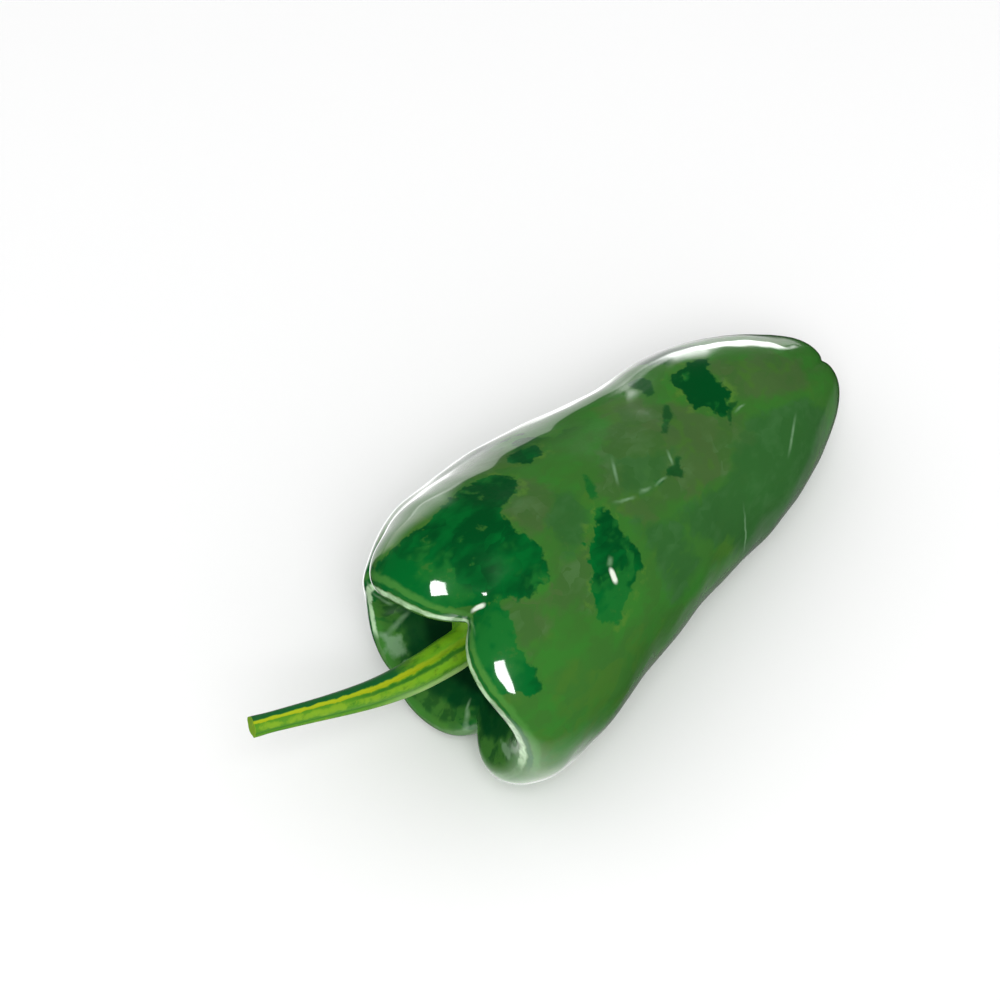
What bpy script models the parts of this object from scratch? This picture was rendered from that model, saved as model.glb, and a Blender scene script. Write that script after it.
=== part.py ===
"""Poblano pepper, picked, lying on its side: the lobed pod and its stem with the calyx.

Metres, +Z up. The pod's long axis runs along X, with the tip at +X and the stem at -X. The origin is
on the ground under the middle of the whole pepper.
"""

import math

import bmesh
import bpy
import numpy as np

# Pod, measured from the crest of its shoulders
POD_LENGTH = 0.1371
POD_WIDTH = 0.0690
POD_THICKNESS = 0.0649
BROADEST_AT = 0.0223
SHOULDER_FULLNESS = 2.45
TAPER = 0.486
TAPER_EASE = 0.085
BLUNTNESS = 6.3
# Share of the half thickness left below the spine, where the pod lies
UNDERSIDE = 0.924
TIP_DIMPLE = 0.0030
TIP_DIMPLE_REACH = 0.0060
# The hollow that the stem grows from, and the crest round it as a share of the pod's half width
CREST_SHARE = 0.76
CAVITY_DEPTH = 0.0195
CAVITY_STEEPNESS = 1.5
# Spine: its height at the shoulders, the share of the taper by which it falls, and its bend to one side
SPINE_HEIGHT = 0.0289
SPINE_FALL = 0.875
SPINE_BEND = 0.0024
TWIST = math.radians(-15)
# Furrows between the lobes: degrees from the top towards +Y, how far back the crest is notched, then depth
# as a share of the radius at the shoulder, along the body and at the tip
FURROWS = (
    (-11, 0.0107, 0.168, 0.029, 0.180),
    (62, 0.0106, 0.173, 0.020, 0.035),
    (145, 0.0010, 0.154, 0.010, 0.060),
    (-158, 0.0076, 0.164, 0.027, 0.060),
)
FURROW_WIDTH_AT_CREST = math.radians(12)
FURROW_WIDTH_ON_BODY = math.radians(22)
FURROW_WIDTH_AT_TIP = math.radians(11)
FURROW_ROUND = math.radians(3)
FURROW_SHOULDER_REACH = 0.020
FURROW_CAVITY_REACH = 0.012
FURROW_TIP_REACH = 0.022
NOTCH_REACH = 0.0142
# Lobes: degrees from the top, how far the crest stands back, and extra radius share
LOBES = (
    (25, 0.0010, 0.032),
    (-86, 0.0037, 0.008),
    (173, 0.0033, 0.009),
    (104, 0.0096, 0.004),
)
LOBE_SPREAD = math.radians(37)
# Gentle unevenness of the skin: wave length, height and seed of each layer
RIPPLES = ((0.046, 0.00060, 5), (0.021, 0.00022, 11))
RIPPLE_WAVES = 9
# Calyx and stem
CALYX_GAP = 0.0005
CALYX_REACH = 0.0115
CALYX_EDGE = 0.0010
CALYX_TEETH = 5
CALYX_TOOTH = 0.0020
CALYX_FLARE = 0.0030
HUB_HEIGHT = 0.0070
# Stem radius at shares of its length
STEM_RADII = ((0.0, 0.0048), (0.15, 0.0042), (0.32, 0.0038), (0.50, 0.0031), (0.72, 0.0025), (1.0, 0.0021))
# The stem's bend: control points of one Bezier curve, from the centre of the cavity's mouth
STEM_CURVE = (
    (0.0195, 0.0000, 0.0000),
    (-0.0045, 0.0032, -0.0012),
    (-0.0100, 0.0047, 0.0041),
    (-0.0353, 0.0156, 0.0089),
)
STEM_RIBS = 5
STEM_RIB_HEIGHT = 0.14
STEM_RIB_TURN = math.radians(23)
STEM_END_FLARE = 0.10
STEM_END_FLARE_REACH = 0.0030
# Middle of the whole pepper along X and across, from the crest
MIDDLE = (0.0490, 0.0012)
# Faces
POD_RINGS = 50
POD_SEGMENTS = 72
RING_TURN_WEIGHT = 0.011
STEM_SEGMENTS = 40
STEM_RINGS = 26
SHARP_ANGLE = math.radians(50)

POD_COLOUR = (0.012, 0.095, 0.020, 1)
STEM_COLOUR = (0.250, 0.450, 0.045, 1)


def taper(x):
    """Radius share left at x by the pod's narrowing from its broadest place to the tip."""
    along = np.clip((x - BROADEST_AT) / (POD_LENGTH - BROADEST_AT), 0, 1)
    return 1 - TAPER * along**2 / (along + TAPER_EASE)


def plain_profile():
    """Place along X, radius share and length of the pod's outline, from the cavity's centre to the tip."""
    inner = np.linspace(0, CREST_SHARE, 500)
    funnel = CAVITY_DEPTH * (1 + np.cos(np.pi * (inner / CREST_SHARE) ** CAVITY_STEEPNESS)) / 2
    turn = np.linspace(0, np.pi / 2, 300)[1:]
    shoulder = BROADEST_AT * (1 - np.cos(turn) ** (2 / SHOULDER_FULLNESS))
    shoulder_share = CREST_SHARE + (1 - CREST_SHARE) * np.sin(turn) ** (2 / SHOULDER_FULLNESS)
    share_along = 1 - (1 - np.linspace(0, 1, 3000)[1:]) ** 3
    body = BROADEST_AT + (POD_LENGTH - BROADEST_AT) * share_along
    body_share = taper(body) * np.sqrt(np.clip(1 - share_along**BLUNTNESS, 0, None))
    x = np.concatenate([funnel, shoulder, body])
    share = np.concatenate([inner, shoulder_share, body_share])
    steps = np.hypot(np.diff(x), np.diff(share) * POD_WIDTH / 2)
    reach = np.concatenate([[0], np.cumsum(steps)])
    return x, share, reach, reach[len(inner) - 1]


PROFILE_X, PROFILE_SHARE, PROFILE_REACH, CREST_REACH = plain_profile()
TIP_REACH = PROFILE_REACH[-1]


def turned_from(around, centre):
    """Signed angle from centre, wrapped to half a turn each way."""
    return (around - centre + np.pi) % (2 * np.pi) - np.pi


def bell(distance, reach):
    return np.exp(-((distance / reach) ** 2))


def ripple(points):
    """Smooth unevenness: plane waves in seeded directions, one layer for each wave length."""
    height = np.zeros(points.shape[:-1])
    for wave_length, size, seed in RIPPLES:
        draw = np.random.default_rng(seed)
        directions = draw.normal(size=(RIPPLE_WAVES, 3))
        directions /= np.linalg.norm(directions, axis=1)[:, None]
        phases = draw.uniform(0, 2 * np.pi, RIPPLE_WAVES)
        waves = np.sin(points @ directions.T * 2 * np.pi / wave_length + phases)
        height += size * waves.sum(axis=-1) / math.sqrt(RIPPLE_WAVES / 2)
    return height


def furrow_depth(past_crest, around, x):
    """How deep the furrows are, as a share of the radius, and how far back they set the crest."""
    from_tip = TIP_REACH - CREST_REACH - past_crest
    outside = past_crest > 0
    at_shoulder = bell(past_crest, np.where(outside, FURROW_SHOULDER_REACH, FURROW_CAVITY_REACH))
    at_tip = bell(from_tip, FURROW_TIP_REACH)
    on_body = np.where(outside, 1 - at_shoulder, 0)
    narrower = (FURROW_WIDTH_ON_BODY - FURROW_WIDTH_AT_CREST) * at_shoulder
    narrower = narrower + (FURROW_WIDTH_ON_BODY - FURROW_WIDTH_AT_TIP) * at_tip
    width = FURROW_WIDTH_ON_BODY - narrower
    depth = 0
    setback = 0
    for degrees, notch, shoulder, body, tip in FURROWS:
        away = turned_from(around, math.radians(degrees) + TWIST * x / POD_LENGTH)
        shape = np.exp((FURROW_ROUND - np.hypot(away, FURROW_ROUND)) / width)
        depth = depth + shape * (shoulder * at_shoulder + body * on_body + tip * at_tip)
        setback = setback + shape * notch
    return depth, setback * bell(past_crest, NOTCH_REACH)


def spine(x):
    """Middle of the pod's cross-section at x, as (y, z)."""
    bend = SPINE_BEND * np.sin(np.pi * np.clip(x, 0, POD_LENGTH) / POD_LENGTH)
    return bend, SPINE_HEIGHT - SPINE_FALL * (1 - taper(x)) * POD_THICKNESS / 2


def pod_surface(reach, around):
    """Points of the skin. reach is the length along the outline from the cavity's centre, and around the
    angle from the top towards +Y."""
    x = np.interp(reach, PROFILE_REACH, PROFILE_X)
    share = np.interp(reach, PROFILE_REACH, PROFILE_SHARE)
    past_crest = reach - CREST_REACH
    depth, setback = furrow_depth(past_crest, around, x)
    near_crest = bell(past_crest, NOTCH_REACH * 2)
    swell = 0
    for degrees, back, wider in LOBES:
        lobe = bell(turned_from(around, math.radians(degrees)), LOBE_SPREAD)
        setback = setback + back * lobe * near_crest
        swell = swell + wider * lobe
    radius = share * (1 - depth + swell)
    tip = TIP_DIMPLE * bell(radius * POD_WIDTH / 2, TIP_DIMPLE_REACH) * (past_crest > 0)
    x = x + setback - tip
    middle_y, middle_z = spine(x)
    out_y = np.sin(around)
    out_z = np.cos(around) * (1 - (1 - UNDERSIDE) * np.maximum(-np.cos(around), 0) ** 2)
    y = middle_y + radius * POD_WIDTH / 2 * out_y
    z = middle_z + radius * POD_THICKNESS / 2 * out_z
    skin = np.stack([x, y, z], axis=-1)
    swelling = ripple(skin) * np.clip(share / CREST_SHARE, 0, 1)
    skin[..., 1] += swelling * out_y
    skin[..., 2] += swelling * out_z
    return skin


def ring_reaches(count):
    """Ring places along the outline, closer together where it turns."""
    heading = np.unwrap(np.arctan2(np.diff(PROFILE_SHARE) * POD_WIDTH / 2, np.diff(PROFILE_X)))
    turning = np.concatenate([[0], np.cumsum(np.abs(np.diff(heading, prepend=heading[0])))])
    measure = PROFILE_REACH + RING_TURN_WEIGHT * turning
    return np.interp(np.linspace(0, measure[-1], count), measure, PROFILE_REACH)


def mesh_from_rings(name, rings, first, last):
    """One closed mesh from a stack of rings of points, ended by a point each."""
    count, segments, _ = rings.shape
    points = np.concatenate([rings.reshape(-1, 3), [first], [last]])
    start = count * segments
    here = np.arange(start).reshape(count, segments)
    beside = np.roll(here, -1, axis=1)
    faces = np.stack([here[:-1], beside[:-1], beside[1:], here[1:]], axis=-1).reshape(-1, 4).tolist()
    for j, k in zip(here[0].tolist(), beside[0].tolist()):
        faces.append((start, k, j))
    for j, k in zip(here[-1].tolist(), beside[-1].tolist()):
        faces.append((start + 1, j, k))
    mesh = bpy.data.meshes.new(name)
    mesh.from_pydata(points.tolist(), [], faces)
    build = bmesh.new()
    build.from_mesh(mesh)
    bmesh.ops.recalc_face_normals(build, faces=build.faces)
    build.to_mesh(mesh)
    build.free()
    mesh.shade_smooth()
    mesh.set_sharp_from_angle(angle=SHARP_ANGLE)
    return mesh


def on_ground(points):
    """Moves points from the crest's frame to the pepper's, and flattens what would sink in the ground."""
    moved = points - np.array([MIDDLE[0], MIDDLE[1], 0])
    moved[..., 2] = np.maximum(moved[..., 2], 0)
    return moved


def pod_mesh():
    around = np.linspace(0, 2 * np.pi, POD_SEGMENTS, endpoint=False)
    reaches = ring_reaches(POD_RINGS + 2)
    rings = pod_surface(reaches[1:-1, None], around[None, :])
    ends = pod_surface(reaches[[0, -1]], np.zeros(2))
    return mesh_from_rings("pod", on_ground(rings), *on_ground(ends))


def stem_path():
    """Points along the stem's curve, from the cavity's floor to the cut end, and the length at each."""
    t = np.linspace(0, 1, 400)[:, None]
    a, b, c, d = (np.array(point) for point in STEM_CURVE)
    path = a * (1 - t) ** 3 + 3 * b * t * (1 - t) ** 2 + 3 * c * t**2 * (1 - t) + d * t**3
    path += np.array([0, *spine(CAVITY_DEPTH)])
    return path, np.concatenate([[0], np.cumsum(np.linalg.norm(np.diff(path, axis=0), axis=1))])


STEM_PATH, STEM_REACH = stem_path()


def stem_point(reach):
    return np.array([np.interp(reach, STEM_REACH, STEM_PATH[:, k]) for k in range(3)])


def stem_radius(reach):
    """Radius at a length along the stem, eased between the stated places and flared at the cut end."""
    shares, radii = np.array(STEM_RADII).T
    share = reach / STEM_REACH[-1]
    eased = sum(np.interp(share + shift, shares, radii) for shift in (-0.06, -0.02, 0.02, 0.06)) / 4
    return eased * (1 + STEM_END_FLARE * bell(STEM_REACH[-1] - reach, STEM_END_FLARE_REACH))


def stem_ring(reach, around, flare=0.0):
    """One ring round the stem, square to its curve, ribbed, with its radius widened by flare."""
    heading = stem_point(reach + 0.001) - stem_point(reach - 0.001)
    heading /= np.linalg.norm(heading)
    side = np.cross([0, 0, 1], -heading)
    side /= np.linalg.norm(side)
    up = np.cross(-heading, side)
    ribs = 1 + STEM_RIB_HEIGHT * (np.abs(np.cos((around - STEM_RIB_TURN) * STEM_RIBS / 2)) - 0.6)
    radius = stem_radius(reach) * ribs + flare
    outward = np.sin(around)[:, None] * side + np.cos(around)[:, None] * up
    return stem_point(reach) + radius[:, None] * outward


def calyx_margin(around):
    """Reach of the calyx over the cavity's floor, with its small teeth."""
    tooth = np.abs(np.cos(around * CALYX_TEETH / 2)) ** 12
    return CALYX_REACH + CALYX_TOOTH * (tooth - 0.3)


def calyx_rings(around):
    """Rings of the calyx: out under it to its edge, over the edge, then up the flare into the stem."""
    margin = calyx_margin(around)
    lift = np.array([-1.0, 0, 0])
    rings = [pod_surface(share * margin, around) + CALYX_GAP * lift for share in (0.25, 0.5, 0.75, 0.95)]
    rings.append(pod_surface(margin, around) + (CALYX_GAP + CALYX_EDGE / 2) * lift)
    for share in (0.0, 0.05, 0.12, 0.22, 0.34, 0.48, 0.64, 0.82):
        over = CALYX_GAP + CALYX_EDGE + share * HUB_HEIGHT
        spread = (1 - share) ** 5
        skirt = pod_surface(margin * (0.30 + 0.66 * spread), around) + over * lift
        tube = stem_ring(over, around, CALYX_FLARE * spread)
        blend = share**0.6
        rings.append(skirt * (1 - blend) + tube * blend)
    return rings


def stem_mesh():
    around = np.linspace(0, 2 * np.pi, STEM_SEGMENTS, endpoint=False)
    places = np.linspace(CALYX_GAP + CALYX_EDGE + HUB_HEIGHT, STEM_REACH[-1], STEM_RINGS)
    rings = calyx_rings(around) + [stem_ring(place, around) for place in places]
    under = STEM_PATH[0] - np.array([CALYX_GAP, 0, 0])
    ends = np.array([under, STEM_PATH[-1]])
    return mesh_from_rings("stem", on_ground(np.array(rings)), *on_ground(ends))


def skin_material(name, colour, roughness, coat):
    material = bpy.data.materials.new(name)
    material.diffuse_color = colour
    material.use_nodes = True
    shader = material.node_tree.nodes["Principled BSDF"]
    shader.inputs["Base Color"].default_value = colour
    shader.inputs["Roughness"].default_value = roughness
    shader.inputs["Coat Weight"].default_value = coat
    return material


def add_object(mesh, material):
    obj = bpy.data.objects.new(mesh.name, mesh)
    mesh.materials.append(material)
    bpy.context.scene.collection.objects.link(obj)
    return obj


def main():
    for obj in list(bpy.data.objects):
        bpy.data.objects.remove(obj)
    add_object(pod_mesh(), skin_material("pod_skin", POD_COLOUR, 0.35, 0.6))
    add_object(stem_mesh(), skin_material("stem_skin", STEM_COLOUR, 0.50, 0.1))


main()
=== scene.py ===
"""Poblano pepper lying on its side: the finished skin of the pod and the stem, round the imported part.

Metres, +Z up, the pod's tip at +X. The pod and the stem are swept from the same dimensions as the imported
solids, with finer faces, so each stands where its solid is. Only the pod's small dents and fine ripples, too
small for the solids, are added to its form.
"""

import math
from types import SimpleNamespace

import bmesh
import bpy
import numpy as np
from mathutils import Matrix, Vector

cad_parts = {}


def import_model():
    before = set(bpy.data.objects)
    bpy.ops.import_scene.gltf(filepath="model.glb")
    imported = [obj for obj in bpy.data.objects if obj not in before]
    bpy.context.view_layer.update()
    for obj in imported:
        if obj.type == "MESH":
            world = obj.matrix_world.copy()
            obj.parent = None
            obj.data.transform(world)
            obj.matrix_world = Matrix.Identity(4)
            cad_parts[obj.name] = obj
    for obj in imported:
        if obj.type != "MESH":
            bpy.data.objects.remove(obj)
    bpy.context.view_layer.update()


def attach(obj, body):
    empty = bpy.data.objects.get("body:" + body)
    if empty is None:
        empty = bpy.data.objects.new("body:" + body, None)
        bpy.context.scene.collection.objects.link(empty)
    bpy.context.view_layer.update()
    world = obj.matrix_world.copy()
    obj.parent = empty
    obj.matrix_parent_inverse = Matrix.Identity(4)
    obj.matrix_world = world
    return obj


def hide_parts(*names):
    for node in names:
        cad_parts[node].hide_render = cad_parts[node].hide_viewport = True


# ------------------------------------------------------------------ dimensions shared with the solids
# Pod, measured from the crest of its shoulders
POD_LENGTH = 0.1371
POD_WIDTH = 0.0690
POD_THICKNESS = 0.0649
BROADEST_AT = 0.0223
SHOULDER_FULLNESS = 2.45
TAPER = 0.486
TAPER_EASE = 0.085
BLUNTNESS = 6.3
UNDERSIDE = 0.924
TIP_DIMPLE = 0.0030
TIP_DIMPLE_REACH = 0.0060
CREST_SHARE = 0.76
CAVITY_DEPTH = 0.0195
CAVITY_STEEPNESS = 1.5
SPINE_HEIGHT = 0.0289
SPINE_FALL = 0.875
SPINE_BEND = 0.0024
TWIST = math.radians(-15)
# Furrows between the lobes: degrees from the top towards +Y, how far back the crest is notched, then depth
# as a share of the radius at the shoulder, along the body and at the tip
FURROWS = (
    (-11, 0.0107, 0.168, 0.029, 0.180),
    (62, 0.0106, 0.173, 0.020, 0.035),
    (145, 0.0010, 0.154, 0.010, 0.060),
    (-158, 0.0076, 0.164, 0.027, 0.060),
)
FURROW_WIDTH_AT_CREST = math.radians(12)
FURROW_WIDTH_ON_BODY = math.radians(22)
FURROW_WIDTH_AT_TIP = math.radians(11)
FURROW_ROUND = math.radians(3)
FURROW_SHOULDER_REACH = 0.020
FURROW_CAVITY_REACH = 0.012
FURROW_TIP_REACH = 0.022
NOTCH_REACH = 0.0142
# Lobes: degrees from the top, how far the crest stands back, and extra radius share
LOBES = (
    (25, 0.0010, 0.032),
    (-86, 0.0037, 0.008),
    (173, 0.0033, 0.009),
    (104, 0.0096, 0.004),
)
LOBE_SPREAD = math.radians(37)
RIPPLES = ((0.046, 0.00060, 5), (0.021, 0.00022, 11))
RIPPLE_WAVES = 9
# Points along the outline of the hollow, of the shoulder and of the body
HOLLOW_POINTS = 500
SHOULDER_POINTS = 300
BODY_POINTS = 3000
# Calyx and stem
CALYX_GAP = 0.0005
CALYX_REACH = 0.0115
CALYX_EDGE = 0.0010
CALYX_TEETH = 5
CALYX_TOOTH = 0.0020
CALYX_TOOTH_SHARPNESS = 12
CALYX_FLARE = 0.0030
HUB_HEIGHT = 0.0070
STEM_RADII = ((0.0, 0.0048), (0.15, 0.0042), (0.32, 0.0038), (0.50, 0.0031), (0.72, 0.0025), (1.0, 0.0021))
STEM_CURVE = (
    (0.0195, 0.0000, 0.0000),
    (-0.0045, 0.0032, -0.0012),
    (-0.0100, 0.0047, 0.0041),
    (-0.0353, 0.0156, 0.0089),
)
STEM_CURVE_POINTS = 400
STEM_EASING = (-0.06, -0.02, 0.02, 0.06)
STEM_RIBS = 5
STEM_RIB_HEIGHT = 0.14
STEM_RIB_TURN = math.radians(23)
STEM_END_FLARE = 0.10
STEM_END_FLARE_REACH = 0.0030
# Middle of the whole pepper, which stands over the origin
MIDDLE = (0.0490, 0.0012)

# ------------------------------------------------------------------ finer form, on the skin only
POD_RINGS = 290
POD_SEGMENTS = 320
RING_TURN_WEIGHT = 0.011
CALYX_UNDER_SHARES = (0.25, 0.5, 0.75, 0.95)
CALYX_RINGS = 40
STEM_SEGMENTS = 120
STEM_RINGS = 150
SHARP_ANGLE = math.radians(50)
FINE_RIPPLES = ((0.0105, 0.000050, 23), (0.0052, 0.000014, 31))
# Small dents that give the highlights their outlines: millimetres past the crest, degrees round, reach along
# and across and depth in millimetres. A depth below 0 is a swelling
DENTS = (
    (21.7, -10.1, 6.1, 9.4, 0.93),
    (10.8, 9.2, 6.2, 1.9, -0.40),
    (19.1, 7.2, 7.6, 4.7, -0.48),
    (5.5, -42.4, 5.9, 5.3, 0.50),
    (12.9, -12.7, 1.8, 3.0, 0.20),
    (8.1, -5.6, 2.1, 3.1, -0.26),
    (55.6, -7.0, 2.5, 4.0, 0.25),
    (64.3, -9.0, 3.0, 5.0, 0.20),
    (65.6, -23.0, 4.0, 2.0, 0.30),
    (76.9, -24.0, 2.6, 2.6, 0.40),
    (85.5, -1.0, 2.4, 4.5, 0.30),
    (100.0, 3.0, 6.0, 9.0, 0.30),
)

# ------------------------------------------------------------------ marks on the skin
# Places are outlined by corners, as (millimetres past the crest, degrees round). Across the pod they are
# measured at this radius
MARK_RADIUS_MM = 30.0
# Stored at the two ends of the pod, which no place reaches
FAR_OUTSIDE = -9.0
# Deep green places, and small spots of the same green
DARK_PLACES = (
    ((9, 30), (13, 28), (20, 23), (29, 25), (36, 26), (42, 25), (45, 19), (45, 13), (38, 8), (35, 4),
     (33, -2), (35, -8), (35, -14), (33, -18), (31, -24), (28, -23), (24, -24), (21, -20), (19, -17),
     (15, -15), (7, -9), (5, -4), (2, 8), (2, 16), (2, 26), (4, 40)),
    ((48, 30), (53, 32), (58, 28), (57, 21), (52, 19), (48, 24)),
    ((3, -10), (10, -12), (16, -16), (18, -22), (16, -29), (14, -35), (14, -47), (12, -53), (9, -55),
     (7, -50), (4, -47), (4, -39), (4, -30), (4, -24), (1, -15)),
    ((54, -18), (54, -24), (53, -31), (54, -42), (52, -46), (46, -50), (42, -53), (39, -56), (36, -53),
     (35, -48), (36, -42), (39, -36), (42, -29), (44, -24), (50, -19), (53, -17)),
    ((101, 21), (106, 21), (108, 17), (105, 6), (105, -8), (102, -12), (102, -16), (98, -17), (97, -7),
     (94, -5), (94, 0), (96, 8), (96, 18)),
    ((-4, 80), (8, 74), (26, 88), (30, 112), (18, 128), (4, 122)),
)
DARK_SPOTS = (
    ((57, -1), (58, -2), (57, -8), (55, -13), (53, -12), (54, -8), (56, -4)),
    ((102, -12), (105, -15), (101, -18), (98, -24), (99, -19)),
    ((89, 34), (93, 32), (93, 25), (90, 16), (88, 17), (89, 24), (88, 28)),
    ((89, 8), (90, 6), (88, -1), (82, -8), (81, -6), (85, 0)),
    ((79, -19), (80, -21), (78, -25), (78, -28), (76, -30), (75, -27), (73, -24), (75, -21), (77, -22)),
    ((69, -23), (70, -22), (72, -25), (70, -26)),
)
# Olive places, partly the skin's own olive tint and partly painted sheen of its upper side, and cool green
# places
OLIVE_PLACES = (
    ((79, 31), (86, 25), (89, 11), (94, -8), (96, -16), (105, -21), (100, -38), (92, -34), (87, -41),
     (78, -40), (69, -34), (63, -34), (57, -29), (56, -20), (59, -8), (69, 8)),
    ((106, 18), (121, 6), (130, -12), (125, -33), (112, -26), (106, -17), (105, -6), (106, 7)),
    ((41, 12), (45, 13), (49, 5), (45, -6), (38, -11), (35, -3), (36, 4)),
    ((35, -21), (43, -27), (36, -41), (28, -36), (27, -29)),
    ((17, -19), (24, -26), (24, -35), (15, -40), (15, -33), (17, -26)),
)
COOL_PLACES = (
    ((66, -5), (72, -10), (78, -16), (73, -22), (66, -20), (61, -16)),
    ((104, -29), (120, -39), (127, -62), (110, -92), (92, -112), (70, -56), (68, -43), (76, -42), (87, -45),
     (92, -37)),
    ((48, -2), (50, -10), (44, -22), (38, -19), (41, -10)),
    ((59, -31), (67, -44), (68, -65), (59, -69), (56, -48), (58, -39)),
)
# Painted reflections: pale places in the hollow and on its rim
PAINTED_SHEEN_PLACES = (
    ((-2.7, 121), (-6.2, 123), (-6.8, 129), (-7.4, 133), (-5.5, 136), (-2.9, 135), (-2.3, 130), (-1.6, 126)),
    ((-4.7, 137), (-6.8, 139), (-4.9, 142), (-3.7, 141)),
    ((-4.7, -93), (-0.4, -80), (-1.8, -93), (-2.5, -108), (-4.7, -112), (-6.4, -116)),
)
# Pale lines of painted highlight: start and end as corners are, and half width in millimetres. Those along
# small creases on the body come first, and then those in the hollow and on its rim
PALE_LINES = (
    ((67.3, -0.3), (60.6, -15.6), 0.40),
    ((63.6, -21.9), (68.4, -23.7), 0.42),
    ((55.8, -18.6), (63.6, -22.5), 0.40),
    ((68.4, -23.7), (73.5, -24.6), 0.35),
    ((117.2, -41.4), (104.9, -62.1), 0.45),
    ((87.7, -59.7), (83.6, -98.0), 0.32),
    ((101.2, -18.6), (106.1, -18.3), 0.40),
    ((78.6, -13.8), (76.8, -22.5), 0.35),
    ((47.2, -33.7), (44.4, -36.6), 0.55),
    ((0.8, 119.7), (-4.5, 120.5), 0.80),
    ((-2.0, 122.5), (-10.8, 106.5), 0.90),
    ((-12.0, -168.3), (-5.5, -166.3), 0.45),
    ((-8.0, -167.0), (-3.0, -164.0), 0.70),
    ((-5.0, -165.0), (1.5, -164.0), 0.80),
    ((3.4, 77.5), (-1.0, 79.5), 0.60),
    ((0.2, 78.0), (-3.9, 91.0), 0.62),
    ((-2.6, 85.0), (-5.6, 102.0), 0.60),
)
# Painted glints: white flecks that stand for two small highlights, given like the lines
PAINTED_GLINTS = (
    ((45.2, -35.2), (43.3, -45.0), 0.75),
    ((3.0, -9.8), (15.0, -13.8), 0.60),
)
# Middles of the side that lies uppermost and of the side that is turned to the camera
TOP_SIDE = math.radians(-24)
FACING_SIDE = math.radians(-63)

# ------------------------------------------------------------------ colours, as light that comes back
# The pod's ground, from leaf to moss, and its bright low edge
LEAF_GREEN = (0.040, 0.154, 0.0230)
FRESH_GREEN = (0.035, 0.182, 0.0220)
MOSS_GREEN = (0.058, 0.165, 0.0200)
BRIGHT_GREEN = (0.070, 0.250, 0.0420)
# Cool places, and olive places that are partly the skin's own tint and partly painted sheen
COOL_GREEN = (0.028, 0.118, 0.0260)
COOL_PALE = (0.048, 0.148, 0.0440)
OLIVE = (0.048, 0.128, 0.0290)
BROWN_OLIVE = (0.062, 0.124, 0.0360)
GREY_GREEN = (0.090, 0.190, 0.0700)
# Deep green places and their light fringe
DEEP_GREEN = (0.0003, 0.122, 0.0190)
DEEPEST_GREEN = (0.0001, 0.066, 0.0120)
BRUSHED_GREEN = (0.0110, 0.158, 0.0230)
FRINGE_GREEN = (0.085, 0.210, 0.0260)
# Painted shade of the hollow, darkest at its floor, a painted highlight for its rim, pale painted highlights
# and reflections, and white for painted glints
HOLLOW_SHADE_GREEN = (0.0001, 0.050, 0.0110)
HOLLOW_FLOOR_SHADE = (0.0001, 0.020, 0.0060)
PAINTED_RIM_GLINT = (0.560, 0.800, 0.4900)
PAINTED_PALE_SHEEN = (0.180, 0.330, 0.1750)
GLINT_WHITE = (0.800, 0.880, 0.7400)
# The stem
STEM_LIME = (0.088, 0.285, 0.0115)
STEM_YELLOW = (0.255, 0.430, 0.0130)
STEM_FRESH = (0.185, 0.500, 0.0150)
STEM_GROOVE = (0.020, 0.170, 0.0120)
STEM_PALE = (0.420, 0.620, 0.2400)
STEM_GOLD = (0.440, 0.500, 0.0060)
STEM_SHADE = (0.0005, 0.105, 0.0220)
STEM_CUT = (0.215, 0.395, 0.0120)
# The floor
BOARD_WHITE = (0.98, 0.98, 0.98)
BOARD_CLOUD = (0.95, 0.95, 0.95)

# ------------------------------------------------------------------ floor, light and camera
FLOOR_SIZE = 3.0
FLOOR_DROP = 0.0002
CAMERA_TURN = math.radians(-46.45)
CAMERA_HEIGHT = math.radians(56.5)
CAMERA_AIM = (-0.0084, 0.0135, 0.0455)
CAMERA_DISTANCE = 0.80
CAMERA_LENS = 129.4
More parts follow.
